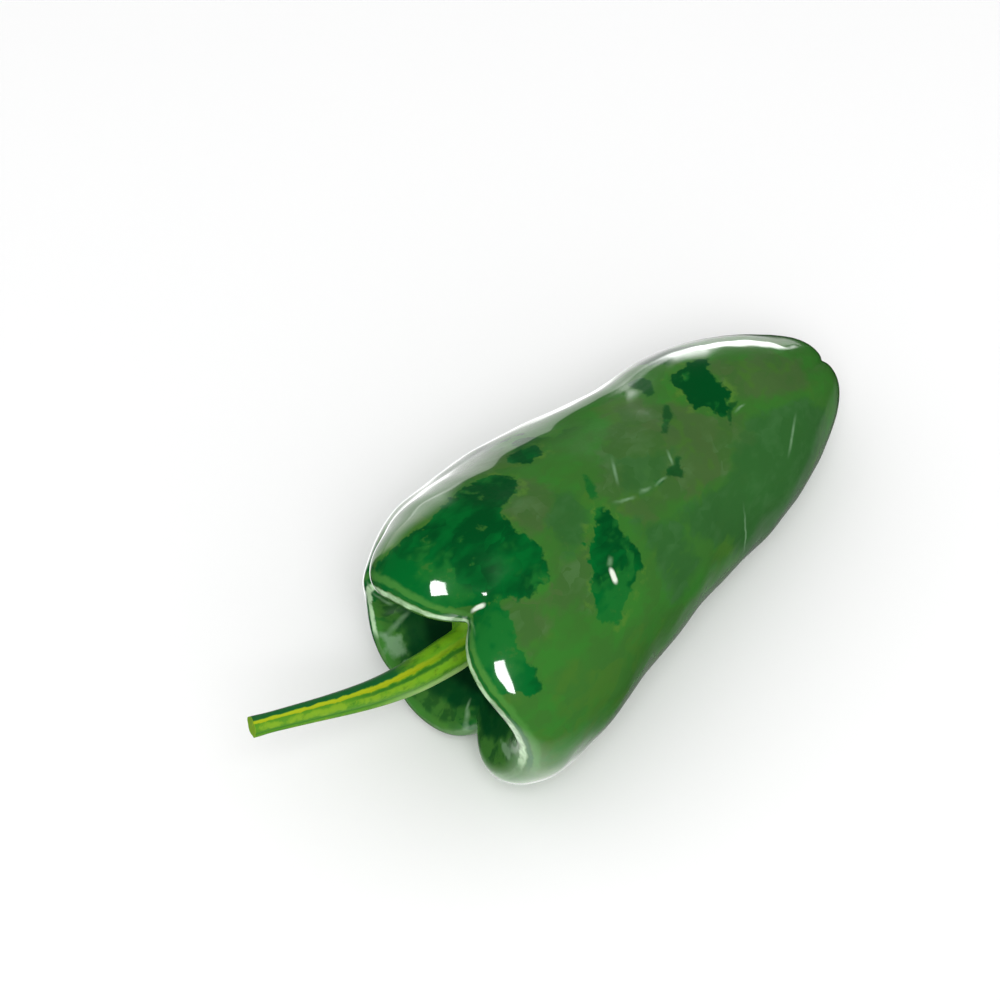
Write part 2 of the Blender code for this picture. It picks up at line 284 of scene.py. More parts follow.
# Lamps: middle of the face, direction of its width and direction it shines in; then width, height,
# brightness, the share of it over which its sides, its low edge and its high edge fade, and its use. A "lit"
# lamp lights the skin, and a "mirrored" one is only seen in the gloss
PANEL_RUN = (-0.819, 0.574, 0.0)
PANEL_SHINE = (-0.574, -0.819, 0.0)
ALONG_X = (1.0, 0.0, 0.0)
UP = (0.0, 0.0, 1.0)
LAMPS = (
    ("key_light", (-0.381, -0.409, 0.864), (0.731, -0.682, 0.0), (0.381, 0.409, -0.829),
     0.50, 0.50, 6.2, (0.1, 0.1, 0.1), "lit"),
    ("key_face", (-0.966, -1.037, 1.479), (0.741, -0.672, 0.0), (0.468, 0.517, -0.717),
     0.50, 0.73, 26.0, (0.05, 0.05, 0.05), "mirrored"),
    ("panel_left", (0.014, 0.185, 0.057), PANEL_RUN, PANEL_SHINE,
     0.16, 0.11, 1.7, (0.2, 0.8, 0.1), "mirrored"),
    ("panel_middle", (0.087, 0.061, 0.034), PANEL_RUN, PANEL_SHINE,
     0.036, 0.030, 2.6, (0.4, 0.3, 0.4), "mirrored"),
    ("panel_right", (0.143, 0.095, 0.045), (-0.795, 0.557, 0.242), PANEL_SHINE,
     0.05, 0.09, 7.0, (0.2, 0.5, 0.3), "mirrored"),
    ("panel_tip", (0.182, 0.068, 0.019), PANEL_RUN, PANEL_SHINE,
     0.11, 0.037, 8.0, (0.2, 0.3, 0.2), "mirrored"),
    ("floor_back", (0.0815, 0.13, 0.0004), ALONG_X, UP,
     0.247, 0.20, 1.05, (0.03, 0.05, 0.1), "mirrored"),
    ("floor_edge", (0.012, 0.052, 0.0006), ALONG_X, UP,
     0.11, 0.036, 1.1, (0.15, 0.3, 0.5), "mirrored"),
    ("floor_stem", (-0.054, -0.036, 0.0006), ALONG_X, UP,
     0.09, 0.09, 2.0, (0.5, 0.5, 0.5), "mirrored"),
    ("floor_rim", (0.045, -0.026, 0.0008), ALONG_X, UP,
     0.19, 0.040, 0.20, (0.15, 0.4, 0.4), "mirrored"),
)
ROOM_LIGHT = 0.80


# ================================================================== the pod's form
def taper(x):
    """Radius share left at x by the pod's narrowing from its broadest place to the tip."""
    along = np.clip((x - BROADEST_AT) / (POD_LENGTH - BROADEST_AT), 0, 1)
    return 1 - TAPER * along**2 / (along + TAPER_EASE)


def plain_profile():
    """Place along X, radius share and length of the pod's outline, from the cavity's centre to the tip."""
    inner = np.linspace(0, CREST_SHARE, HOLLOW_POINTS)
    funnel = CAVITY_DEPTH * (1 + np.cos(np.pi * (inner / CREST_SHARE) ** CAVITY_STEEPNESS)) / 2
    turn = np.linspace(0, np.pi / 2, SHOULDER_POINTS)[1:]
    shoulder = BROADEST_AT * (1 - np.cos(turn) ** (2 / SHOULDER_FULLNESS))
    shoulder_share = CREST_SHARE + (1 - CREST_SHARE) * np.sin(turn) ** (2 / SHOULDER_FULLNESS)
    share_along = 1 - (1 - np.linspace(0, 1, BODY_POINTS)[1:]) ** 3
    body = BROADEST_AT + (POD_LENGTH - BROADEST_AT) * share_along
    body_share = taper(body) * np.sqrt(np.clip(1 - share_along**BLUNTNESS, 0, None))
    x = np.concatenate([funnel, shoulder, body])
    share = np.concatenate([inner, shoulder_share, body_share])
    steps = np.hypot(np.diff(x), np.diff(share) * POD_WIDTH / 2)
    reach = np.concatenate([[0], np.cumsum(steps)])
    return x, share, reach, reach[len(inner) - 1]


PROFILE_X, PROFILE_SHARE, PROFILE_REACH, CREST_REACH = plain_profile()
TIP_REACH = PROFILE_REACH[-1]


def turned_from(around, centre):
    """Signed angle from centre, wrapped to half a turn each way."""
    return (around - centre + np.pi) % (2 * np.pi) - np.pi


def bell(distance, reach):
    """1 at no distance, falling smoothly away over its reach."""
    return np.exp(-((distance / reach) ** 2))


def ripple(points, layers):
    """Smooth unevenness: plane waves in seeded directions, one layer for each wave length."""
    height = np.zeros(points.shape[:-1])
    for wave_length, size, seed in layers:
        draw = np.random.default_rng(seed)
        directions = draw.normal(size=(RIPPLE_WAVES, 3))
        directions /= np.linalg.norm(directions, axis=1)[:, None]
        phases = draw.uniform(0, 2 * np.pi, RIPPLE_WAVES)
        waves = np.sin(points @ directions.T * 2 * np.pi / wave_length + phases)
        height += size * waves.sum(axis=-1) / math.sqrt(RIPPLE_WAVES / 2)
    return height


def furrow_shapes(past_crest, around, x):
    """How near each point is to each furrow, from 0 to 1."""
    narrower = (FURROW_WIDTH_ON_BODY - FURROW_WIDTH_AT_CREST) * shoulder_share(past_crest)
    narrower = narrower + (FURROW_WIDTH_ON_BODY - FURROW_WIDTH_AT_TIP) * tip_share(past_crest)
    width = FURROW_WIDTH_ON_BODY - narrower
    for degrees, *_ in FURROWS:
        away = turned_from(around, math.radians(degrees) + TWIST * x / POD_LENGTH)
        yield np.exp((FURROW_ROUND - np.hypot(away, FURROW_ROUND)) / width)


def shoulder_share(past_crest):
    """1 at the crest of the shoulders, falling off along the body and into the hollow."""
    return bell(past_crest, np.where(past_crest > 0, FURROW_SHOULDER_REACH, FURROW_CAVITY_REACH))


def tip_share(past_crest):
    """1 at the tip, falling off along the body."""
    return bell(TIP_REACH - CREST_REACH - past_crest, FURROW_TIP_REACH)


def furrow_depth(past_crest, around, x):
    """How deep the furrows are, as a share of the radius, and how far back they set the crest."""
    at_shoulder = shoulder_share(past_crest)
    at_tip = tip_share(past_crest)
    on_body = np.where(past_crest > 0, 1 - at_shoulder, 0)
    depth = 0
    setback = 0
    for shape, furrow in zip(furrow_shapes(past_crest, around, x), FURROWS):
        _, notch, shoulder, body, tip = furrow
        depth = depth + shape * (shoulder * at_shoulder + body * on_body + tip * at_tip)
        setback = setback + shape * notch
    return depth, setback * bell(past_crest, NOTCH_REACH)


def spine(x):
    """Middle of the pod's cross-section at x, as (y, z)."""
    bend = SPINE_BEND * np.sin(np.pi * np.clip(x, 0, POD_LENGTH) / POD_LENGTH)
    return bend, SPINE_HEIGHT - SPINE_FALL * (1 - taper(x)) * POD_THICKNESS / 2


def dent_depth(past_crest, around, half_width):
    """Depth of the small dents."""
    depth = 0
    for place, degrees, along, across, deep in DENTS:
        off_along = (past_crest * 1000 - place) / along
        off_across = turned_from(around, math.radians(degrees)) * half_width * 1000 / across
        depth = depth + deep / 1000 * bell(np.hypot(off_along, off_across), 1)
    return depth


def pod_surface(reach, around, fine=False):
    """Points of the skin: reach is the length along the outline from the cavity's centre, and around the
    angle from the top towards +Y. The fine form has the small dents and ripples too."""
    x = np.interp(reach, PROFILE_REACH, PROFILE_X)
    share = np.interp(reach, PROFILE_REACH, PROFILE_SHARE)
    past_crest = reach - CREST_REACH
    depth, setback = furrow_depth(past_crest, around, x)
    near_crest = bell(past_crest, NOTCH_REACH * 2)
    swell = 0
    for degrees, back, wider in LOBES:
        lobe = bell(turned_from(around, math.radians(degrees)), LOBE_SPREAD)
        setback = setback + back * lobe * near_crest
        swell = swell + wider * lobe
    radius = share * (1 - depth + swell)
    tip = TIP_DIMPLE * bell(radius * POD_WIDTH / 2, TIP_DIMPLE_REACH) * (past_crest > 0)
    x = x + setback - tip
    middle_y, middle_z = spine(x)
    out_y = np.sin(around)
    out_z = np.cos(around) * (1 - (1 - UNDERSIDE) * np.maximum(-np.cos(around), 0) ** 2)
    half_width = radius * POD_WIDTH / 2
    half_height = radius * POD_THICKNESS / 2
    skin = np.stack([x, middle_y + half_width * out_y, middle_z + half_height * out_z], axis=-1)
    swelling = ripple(skin, RIPPLES) * np.clip(share / CREST_SHARE, 0, 1)
    if fine:
        swelling = swelling + ripple(skin, FINE_RIPPLES) - dent_depth(past_crest, around, half_width)
    skin[..., 1] += swelling * out_y
    skin[..., 2] += swelling * out_z
    return skin


def ring_reaches(count):
    """Ring places along the outline, closer together where it turns."""
    heading = np.unwrap(np.arctan2(np.diff(PROFILE_SHARE) * POD_WIDTH / 2, np.diff(PROFILE_X)))
    turning = np.concatenate([[0], np.cumsum(np.abs(np.diff(heading, prepend=heading[0])))])
    measure = PROFILE_REACH + RING_TURN_WEIGHT * turning
    return np.interp(np.linspace(0, measure[-1], count), measure, PROFILE_REACH)


def on_ground(points):
    """Points moved from the crest's frame to the pepper's, and pressed flat where they would sink in."""
    moved = points - np.array([MIDDLE[0], MIDDLE[1], 0])
    moved[..., 2] = np.maximum(moved[..., 2], 0)
    return moved


def piece_from_rings(name, rings, first, last):
    """One closed object from a stack of rings of points, ended by a point each."""
    count, segments, _ = rings.shape
    points = np.concatenate([rings.reshape(-1, 3), [first], [last]])
    here = np.arange(count * segments).reshape(count, segments)
    beside = np.roll(here, -1, axis=1)
    quads = np.stack([here[:-1], beside[:-1], beside[1:], here[1:]], axis=-1).reshape(-1, 4)
    start = count * segments
    lids = [(start, k, j) for j, k in zip(here[0], beside[0])]
    lids += [(start + 1, j, k) for j, k in zip(here[-1], beside[-1])]
    mesh = bpy.data.meshes.new(name)
    mesh.from_pydata(points.tolist(), [], quads.tolist() + [tuple(map(int, lid)) for lid in lids])
    build = bmesh.new()
    build.from_mesh(mesh)
    bmesh.ops.recalc_face_normals(build, faces=build.faces)
    build.to_mesh(mesh)
    build.free()
    mesh.shade_smooth()
    mesh.set_sharp_from_angle(angle=SHARP_ANGLE)
    piece = bpy.data.objects.new(name, mesh)
    bpy.context.scene.collection.objects.link(piece)
    return piece


def mark(piece, name, rings, first, last):
    """Stores one number for each point, for the finish to read."""
    values = np.concatenate([np.ravel(rings), [first, last]])
    layer = piece.data.attributes.new(name, "FLOAT", "POINT")
    layer.data.foreach_set("value", values.astype(np.float32))


def distance_inside(corners, past_crest, around):
    """How far points are inside an outline on the skin, in millimetres; outside it is negative."""
    u = past_crest * 1000
    centre = sum(math.radians(turn) for _, turn in corners) / len(corners)
    v = turned_from(around, centre) * MARK_RADIUS_MM
    outline = [(place, (math.radians(turn) - centre) * MARK_RADIUS_MM) for place, turn in corners]
    nearest = np.full(u.shape, np.inf)
    inside = np.zeros(u.shape, dtype=bool)
    for (u0, v0), (u1, v1) in zip(outline, outline[1:] + outline[:1]):
        run_u, run_v = u1 - u0, v1 - v0
        share = np.clip(((u - u0) * run_u + (v - v0) * run_v) / (run_u**2 + run_v**2), 0, 1)
        nearest = np.minimum(nearest, np.hypot(u - u0 - share * run_u, v - v0 - share * run_v))
        if run_v:
            inside ^= ((v0 > v) != (v1 > v)) & (u < u0 + (v - v0) * run_u / run_v)
    return np.where(inside, nearest, -nearest)


def make_pod():
    """The pod's skin, with the numbers for each point that its finish reads."""
    around = np.linspace(0, 2 * np.pi, POD_SEGMENTS, endpoint=False)[None, :]
    reaches = ring_reaches(POD_RINGS + 2)
    middle = reaches[1:-1, None]
    ends = on_ground(pod_surface(reaches[[0, -1]], np.zeros(2), fine=True))
    pod = piece_from_rings("pod_skin", on_ground(pod_surface(middle, around, fine=True)), *ends)
    past, turn = np.broadcast_arrays(middle - CREST_REACH, around)
    mark(pod, "past_crest", past, -CREST_REACH, TIP_REACH - CREST_REACH)
    mark(pod, "turn_sine", np.sin(turn), 0, 0)
    mark(pod, "turn_cosine", np.cos(turn), 1, 1)
    mark(pod, "top_side", np.cos(turn - TOP_SIDE), 1, 1)
    mark(pod, "facing_side", np.cos(turn - FACING_SIDE), 0, 0)
    for name, places in (
        ("dark_place", DARK_PLACES),
        ("dark_spot", DARK_SPOTS),
        ("olive_place", OLIVE_PLACES),
        ("cool_place", COOL_PLACES),
        ("painted_sheen_place", PAINTED_SHEEN_PLACES),
    ):
        inside = np.max([distance_inside(corners, past, turn) for corners in places], axis=0)
        mark(pod, name, inside, FAR_OUTSIDE, FAR_OUTSIDE)
    return pod


# ================================================================== the stem's form
def stem_path():
    """Points along the stem's curve, from the cavity's floor to the cut end, and the length at each."""
    t = np.linspace(0, 1, STEM_CURVE_POINTS)[:, None]
    a, b, c, d = (np.array(point) for point in STEM_CURVE)
    path = a * (1 - t) ** 3 + 3 * b * t * (1 - t) ** 2 + 3 * c * t**2 * (1 - t) + d * t**3
    path += np.array([0, *spine(CAVITY_DEPTH)])
    return path, np.concatenate([[0], np.cumsum(np.linalg.norm(np.diff(path, axis=0), axis=1))])


STEM_PATH, STEM_REACH = stem_path()


def stem_point(reach):
    """Point on the stem's curve at a length along it."""
    return np.array([np.interp(reach, STEM_REACH, STEM_PATH[:, k]) for k in range(3)])


def stem_radius(reach):
    """Radius at a length along the stem, eased between the stated places and flared at the cut end."""
    shares, radii = np.array(STEM_RADII).T
    share = reach / STEM_REACH[-1]
    eased = np.mean([np.interp(share + shift, shares, radii) for shift in STEM_EASING], axis=0)
    return eased * (1 + STEM_END_FLARE * bell(STEM_REACH[-1] - reach, STEM_END_FLARE_REACH))


def rib_shape(around):
    """1 on the back of a rib, 0 in the groove beside it."""
    return np.abs(np.cos((around - STEM_RIB_TURN) * STEM_RIBS / 2))


def stem_ring(reach, around, flare=0.0):
    """One ring round the stem, square to its curve, ribbed, with its radius widened by flare."""
    heading = stem_point(reach + 0.001) - stem_point(reach - 0.001)
    heading /= np.linalg.norm(heading)
    side = np.cross([0, 0, 1], -heading)
    side /= np.linalg.norm(side)
    up = np.cross(-heading, side)
    radius = stem_radius(reach) * (1 + STEM_RIB_HEIGHT * (rib_shape(around) - 0.6)) + flare
    out = np.sin(around)[:, None] * side + np.cos(around)[:, None] * up
    return stem_point(reach) + radius[:, None] * out


def calyx_margin(around):
    """Reach of the calyx over the cavity's floor, with its small teeth."""
    tooth = np.abs(np.cos(around * CALYX_TEETH / 2)) ** CALYX_TOOTH_SHARPNESS
    return CALYX_REACH + CALYX_TOOTH * (tooth - 0.3)


def calyx_rings(around):
    """Rings of the calyx: out under it to its edge, over the edge, then up the flare into the stem."""
    margin = calyx_margin(around)
    lift = np.array([-1.0, 0, 0])
    rings = [pod_surface(share * margin, around) + CALYX_GAP * lift for share in CALYX_UNDER_SHARES]
    rings.append(pod_surface(margin, around) + (CALYX_GAP + CALYX_EDGE / 2) * lift)
    for share in np.linspace(0, 1, CALYX_RINGS, endpoint=False) ** 1.5:
        over = CALYX_GAP + CALYX_EDGE + share * HUB_HEIGHT
        spread = (1 - share) ** 5
        skirt = pod_surface(margin * (0.30 + 0.66 * spread), around) + over * lift
        tube = stem_ring(over, around, CALYX_FLARE * spread)
        blend = share**0.6
        rings.append(skirt * (1 - blend) + tube * blend)
    return rings


def make_stem():
    """The stem's skin, with the numbers for each point that its finish reads."""
    around = np.linspace(0, 2 * np.pi, STEM_SEGMENTS, endpoint=False)
    places = np.linspace(CALYX_GAP + CALYX_EDGE + HUB_HEIGHT, STEM_REACH[-1], STEM_RINGS)
    calyx = calyx_rings(around)
    rings = np.array(calyx + [stem_ring(place, around) for place in places])
    under = STEM_PATH[0] - np.array([CALYX_GAP, 0, 0])
    stem = piece_from_rings("stem_skin", on_ground(rings), *on_ground(np.array([under, STEM_PATH[-1]])))
    shares = np.concatenate([np.zeros(len(calyx)), places / STEM_REACH[-1]])
    up, turn = np.broadcast_arrays(shares[:, None], around)
    mark(stem, "up_stem", up, 0, 1)
    mark(stem, "rib", rib_shape(turn), 0, 0)
    mark(stem, "turn_sine", np.sin(turn), 0, 0)
    mark(stem, "turn_cosine", np.cos(turn), 0, 0)
    return stem


# ================================================================== finishes
class Wire:
    """A value inside a finish. Sums on it add the nodes that work them out."""

    def __init__(self, finish, socket):
        self.finish = finish
        self.socket = socket

    def math(self, operation, *terms):
        return self.finish.node("ShaderNodeMath", {"operation": operation}, dict(enumerate(terms)))

    def __add__(self, other):
        return self.math("ADD", self, other)

    def __sub__(self, other):
        return self.math("SUBTRACT", self, other)

    def __rsub__(self, other):
        return self.math("SUBTRACT", other, self)

    def __mul__(self, other):
        return self.math("MULTIPLY", self, other)

    __radd__ = __add__
    __rmul__ = __mul__

    def size(self):
        return self.math("ABSOLUTE", self)

    def at_least(self, other):
        return self.math("MAXIMUM", self, other)

    def ramp(self, low, high):
        """0 up to low, 1 from high, and a smooth rise between them; falls where high is below low."""
        rises = low < high
        stops = {0: self, 1: min(low, high), 2: max(low, high), 3: float(not rises), 4: float(rises)}
        return self.finish.node("ShaderNodeMapRange", {"interpolation_type": "SMOOTHSTEP"}, stops)


class Finish:
    """A tree of shader nodes that is written as sums."""

    def __init__(self, tree):
        self.tree = tree

    def plug(self, value, socket):
        """Links or sets a value on a socket; a colour is given as three numbers."""
        if isinstance(value, Wire):
            self.tree.links.new(value.socket, socket)
        elif isinstance(value, tuple) and len(socket.default_value) == 4:
            socket.default_value = (*value, 1)
        else:
            socket.default_value = value

    def node(self, kind, settings, sockets, out=0):
        node = self.tree.nodes.new(kind)
        for name, value in settings.items():
            setattr(node, name, value)
        for key, value in sockets.items():
            self.plug(value, node.inputs[key])
        return Wire(self, node.outputs[out])

    def read(self, name):
        """The number that is stored at each point of a piece under this name."""
        return self.node("ShaderNodeAttribute", {"attribute_name": name}, {}, "Fac")

    def place(self):
        return self.node("ShaderNodeTexCoord", {}, {}, "Object")

    def scaled(self, vector, scales):
        return self.node("ShaderNodeVectorMath", {"operation": "MULTIPLY"}, {0: vector, 1: scales})

    def drawn_out(self, vector, share):
        """Place squeezed along X to this share, which draws its pattern out along the pepper."""
        return self.scaled(vector, (share, 1.0, 1.0))

    def moved(self, vector, step):
        return self.node("ShaderNodeVectorMath", {"operation": "ADD"}, {0: vector, 1: step})

    def noise(self, vector, size, detail=2.0, roughness=0.5, out="Fac"):
        """Cloudy values round 0.5, with features about size metres across."""
        sockets = {"Vector": vector, "Scale": 1 / size, "Detail": detail, "Roughness": roughness}
        return self.node("ShaderNodeTexNoise", {}, sockets, out)

    def cells(self, vector, size, out="Distance"):
        """Cells about size metres across: distance from their middles, or a colour for each."""
        return self.node("ShaderNodeTexVoronoi", {}, {"Vector": vector, "Scale": 1 / size}, out)

    def mixed(self, first, second, share):
        """Colour between first and second."""
        return self.node("ShaderNodeMix", {"data_type": "RGBA"}, {0: share, 6: first, 7: second}, 2)

    def layered(self, colour, *layers):
        """Colour under layers of a second colour and its share each, the last on top."""
        for tint, share in layers:
            colour = self.mixed(colour, tint, share)
        return colour

    def bump(self, height, distance, strength):
        sockets = {"Height": height, "Distance": distance, "Strength": strength}
        return self.node("ShaderNodeBump", {}, sockets, "Normal")


def new_finish(name):
    """A material, its nodes and the sockets of its shader."""
    material = bpy.data.materials.new(name)
    material.use_nodes = True
    return material, Finish(material.node_tree), material.node_tree.nodes["Principled BSDF"].inputs


def turn_round(skin):
    """Angle round the piece from the top towards +Y, in radians."""
    sine = skin.read("turn_sine")
    return sine.math("ARCTAN2", sine, skin.read("turn_cosine"))


def skin_grain(skin):
    """The patterns that the pod's colours share: cloudy ones round 0, and daubs of one value each."""
    place = skin.place()
    drift = skin.scaled(skin.noise(place, 0.006, 2.0, 0.5, "Color"), (0.006, 0.006, 0.006))
    warped = skin.moved(place, drift)
    return SimpleNamespace(
        place=place,
        past=skin.read("past_crest") * 1000,
        unseen=skin.read("facing_side").ramp(0.15, -0.25),
        broad=skin.noise(place, 0.024) - 0.5,
        brushed=skin.noise(skin.drawn_out(place, 0.50), 0.0070, 3.0, 0.6) - 0.5,
        wander=skin.noise(skin.moved(place, (0.05, 0.02, 0.03)), 0.0028, 1.0) - 0.5,
        fleck=skin.noise(place, 0.0021, 2.0, 0.6) - 0.5,
        crumb=skin.noise(skin.moved(place, (0.2, 0.1, 0.4)), 0.0011, 2.0, 0.6) - 0.5,
        daub=skin.cells(skin.drawn_out(warped, 0.6), 0.0034, "Color"),
        large_daub=skin.cells(skin.drawn_out(warped, 0.8), 0.0072, "Color"),
    )


def fresh_ground(skin, grain):
    """Fresh green in soft daubs, brighter low down by the shoulders."""
    tone = grain.daub * 0.45 + grain.large_daub * 0.35 + grain.brushed * 1.3 + grain.broad * 0.8
    mossy = grain.large_daub * 0.5 - grain.brushed * 1.2 + grain.wander * 0.5
    low = 1 - skin.read("top_side") * 0.5 + grain.broad * 0.5 + grain.brushed * 0.7 + grain.daub * 0.2
    return skin.layered(
        LEAF_GREEN,
        (FRESH_GREEN, tone.ramp(0.15, 0.75)),
        (MOSS_GREEN, mossy.ramp(0.25, 0.60) * 0.65),
        (BRIGHT_GREEN, low.ramp(1.15, 1.55) * grain.past.ramp(60, 5) * 0.35),
    )


def cool_and_olive_places(skin, grain, colour):
    """Cool and olive places: outlined on the side that faces the camera, and scattered over the rest."""
    cool_drift = grain.broad * 8 + grain.brushed * 12 + grain.daub * 3 + grain.fleck * 3
    cool_there = (skin.read("cool_place") + cool_drift - 1.0).ramp(-2.0, 2.0)
    cool_far = skin.noise(skin.moved(grain.place, (0.7, 0.2, 0.1)), 0.030, 3.0) + grain.daub * 0.04
    cool = cool_there.at_least(cool_far.ramp(0.54, 0.62) * grain.unseen)
    paler = grain.brushed * 1.6 + grain.daub * 0.4 + grain.wander * 0.5
    cooler = skin.mixed(COOL_GREEN, COOL_PALE, paler.ramp(0.15, 0.60) * 0.7)
    # Olive: partly the skin's own tint, partly painted sheen on its upper side
    olive_drift = grain.broad * 6 - grain.brushed * 10 + grain.large_daub * 3 + grain.fleck * 3
    olive_there = (skin.read("olive_place") + olive_drift - 1.0).ramp(-2.0, 2.0)
    olive_far = skin.noise(skin.moved(grain.place, (0.4, 0.9, 0.3)), 0.034, 3.0) + grain.daub * 0.04
    olive = olive_there.at_least(olive_far.ramp(0.56, 0.64) * grain.unseen) * (1 - cool_there * 0.7)
    brown = skin.layered(
        OLIVE,
        (BROWN_OLIVE, (grain.large_daub * 0.6 + grain.daub * 0.3 - grain.broad * 1.2).ramp(0.30, 0.60)),
        (MOSS_GREEN, (grain.brushed * 1.5 + grain.wander).ramp(0.05, 0.35) * 0.6),
        (GREY_GREEN, (grain.daub * 0.5 - grain.brushed * 1.4 + grain.broad).ramp(0.30, 0.62) * 0.55),
    )
    return skin.layered(colour, (cooler, cool * 0.85), (brown, olive * 0.8))


def deep_places(skin, grain, colour):
    """Deep green places with ragged edges, fringed lightly here and there, and blotches on the far side."""
    ragged = grain.brushed * 4 + grain.wander * 3.0 + grain.fleck * 2.5 + grain.crumb * 1.6
    edge = skin.read("dark_place") + ragged
    spot = skin.read("dark_spot") + grain.fleck * 1.2 + grain.crumb * 1.0
    blotch = skin.noise(skin.moved(grain.place, (0.31, 0.12, 0.07)), 0.017, 3.0, 0.55) + grain.fleck * 0.05
    patchy = skin.noise(skin.moved(grain.place, (0.9, 0.6, 0.2)), 0.011, 1.0).ramp(0.50, 0.60)
    fringe = edge.ramp(-2.4, -0.6) * patchy * (grain.fleck + grain.wander).ramp(-0.10, 0.15)
    clear = edge.ramp(0.45, -0.35) * (spot.ramp(0.5, -0.3) * 0.8 + 0.2)
    clear = clear * (1 - blotch.ramp(0.555, 0.580) * grain.unseen)
    darker = grain.brushed * 1.4 - grain.broad * 1.2 + grain.daub * 0.25 + grain.past * 0.006 - 0.03
    lighter = grain.brushed * 1.2 + grain.wander * 0.6 + grain.broad * 1.5 + grain.daub * 0.25
    leafy = grain.brushed + grain.wander * 0.7 + grain.crumb * 0.5 + grain.daub * 0.1
    deep = skin.layered(
        DEEP_GREEN,
        (DEEPEST_GREEN, darker.ramp(0.10, 0.50)),
        (BRUSHED_GREEN, lighter.ramp(0.12, 0.40) * 0.8),
        (LEAF_GREEN, leafy.ramp(0.24, 0.40) * 0.6),
    )
    return skin.mixed(deep, skin.mixed(colour, FRINGE_GREEN, fringe * 0.6), clear)


def hollow_and_rim(skin, grain, colour):
    """Painted shade in the hollow, in deep mottles and near black at its floor, and the rim's bright, deep
    and pale lines, of which the pale one is a painted highlight.
    """
    past, wander = grain.past, grain.wander
    mottle = (grain.daub * 0.6 + grain.brushed * 1.6 + wander * 0.8 + grain.fleck * 0.8).ramp(0.08, 0.36)
    mottled = skin.mixed(HOLLOW_SHADE_GREEN, LEAF_GREEN, mottle * 0.85 + 0.15)
    rim = past + wander + grain.fleck * 0.9 + grain.broad * 2.4 + grain.brushed * 0.8
    turn = turn_round(skin)
    on_show = turn.ramp(-1.85, -1.55) * turn.ramp(2.16, 2.04) * 0.9 + 0.1
    broken = grain.fleck * 1.2 + wander * 0.8 + grain.brushed * 1.6 + grain.broad * 1.2
    broken = broken.ramp(-0.45, 0.30) * 0.6 + 0.4
    return skin.layered(
        colour,
        (mottled, past.ramp(-1.5, -3.5) * 0.75),
        (HOLLOW_SHADE_GREEN, (past + wander * 3.0).ramp(-6.0, -9.0) * 0.9),
        (HOLLOW_FLOOR_SHADE, (past + wander * 2.0).ramp(-12.0, -16.0) * 0.9),
        (BRIGHT_GREEN, rim.ramp(5.2, 4.0) * rim.ramp(2.6, 3.3) * on_show * 0.7),
        (DEEP_GREEN, rim.ramp(3.0, 2.5) * rim.ramp(1.5, 1.9) * on_show * 0.7),
        # Painted highlight along the lip of the rim
        (PAINTED_RIM_GLINT, rim.ramp(1.8, 1.1) * rim.ramp(-0.7, 0.0) * on_show * broken * 0.95),
    )


def along_lines(skin, grain, lines, straying):
    """1 along thin lines that stray a little."""
    stray = grain.wander * straying
    along = grain.past + stray
    across = turn_round(skin) * MARK_RADIUS_MM + stray
    marks = 0.0
    for (start, start_turn), (end, end_turn), half_width in lines:
        first = Vector((start, math.radians(start_turn) * MARK_RADIUS_MM))
        run = Vector((end, math.radians(end_turn) * MARK_RADIUS_MM)) - first
        length = run.length
        run = run / length
        ahead = (along - first.x) * run.x + (across - first.y) * run.y
        aside = ((along - first.x) * run.y - (across - first.y) * run.x).size()
        inside = ahead.ramp(0.0, length * 0.5) * ahead.ramp(length, length * 0.6)
        marks = aside.ramp(half_width * 1.7, 0.0) * inside + marks
    return marks


def painted_pale_highlights(skin, grain, colour):
    """Painted highlights and reflections: pale patches, pale lines and white glints."""
    patch = (skin.read("painted_sheen_place") + grain.wander * 4.0 + grain.fleck * 2.5).ramp(-0.9, 1.0)
    return skin.layered(
        colour,
        (PAINTED_PALE_SHEEN, patch * 0.85),
        (PAINTED_PALE_SHEEN, along_lines(skin, grain, PALE_LINES, 1.2) * (0.75 + grain.fleck)),
        (GLINT_WHITE, along_lines(skin, grain, PAINTED_GLINTS, 1.0).ramp(0.12, 0.75)),
    )


def skin_height(skin, grain):
    """Fine texture: wrinkles and streaks along the pod, flecks, pits and a fine grain."""
    wrinkle = skin.noise(skin.drawn_out(grain.place, 0.35), 0.0030)
    streak = skin.noise(skin.drawn_out(grain.place, 0.10), 0.0024, 2.0, 0.6)
    pits = skin.cells(grain.place, 0.0016).ramp(0.0, 0.45)
    fine = skin.noise(grain.place, 0.0006)
    return wrinkle + streak * 0.5 + grain.fleck * 0.35 + pits * 0.12 + fine * 0.06


def pod_finish():
    """Waxy green skin under a clear coat, which is weaker deep in the hollow."""
    material, skin, shader = new_finish("pepper_skin")
    grain = skin_grain(skin)
    colour = fresh_ground(skin, grain)
    for cover in (cool_and_olive_places, deep_places, hollow_and_rim, painted_pale_highlights):
        colour = cover(skin, grain, colour)
    skin.plug(colour, shader["Base Color"])
    skin.plug(0.34 + grain.fleck * 0.2, shader["Roughness"])
    skin.plug(skin.bump(skin_height(skin, grain), 0.00012, 0.7), shader["Normal"])
    shader["Specular IOR Level"].default_value = 0.03
    skin.plug(1 - grain.past.ramp(-4.5, -8.0) * 0.8, shader["Coat Weight"])
    shader["Coat Roughness"].default_value = 0.06
    return material


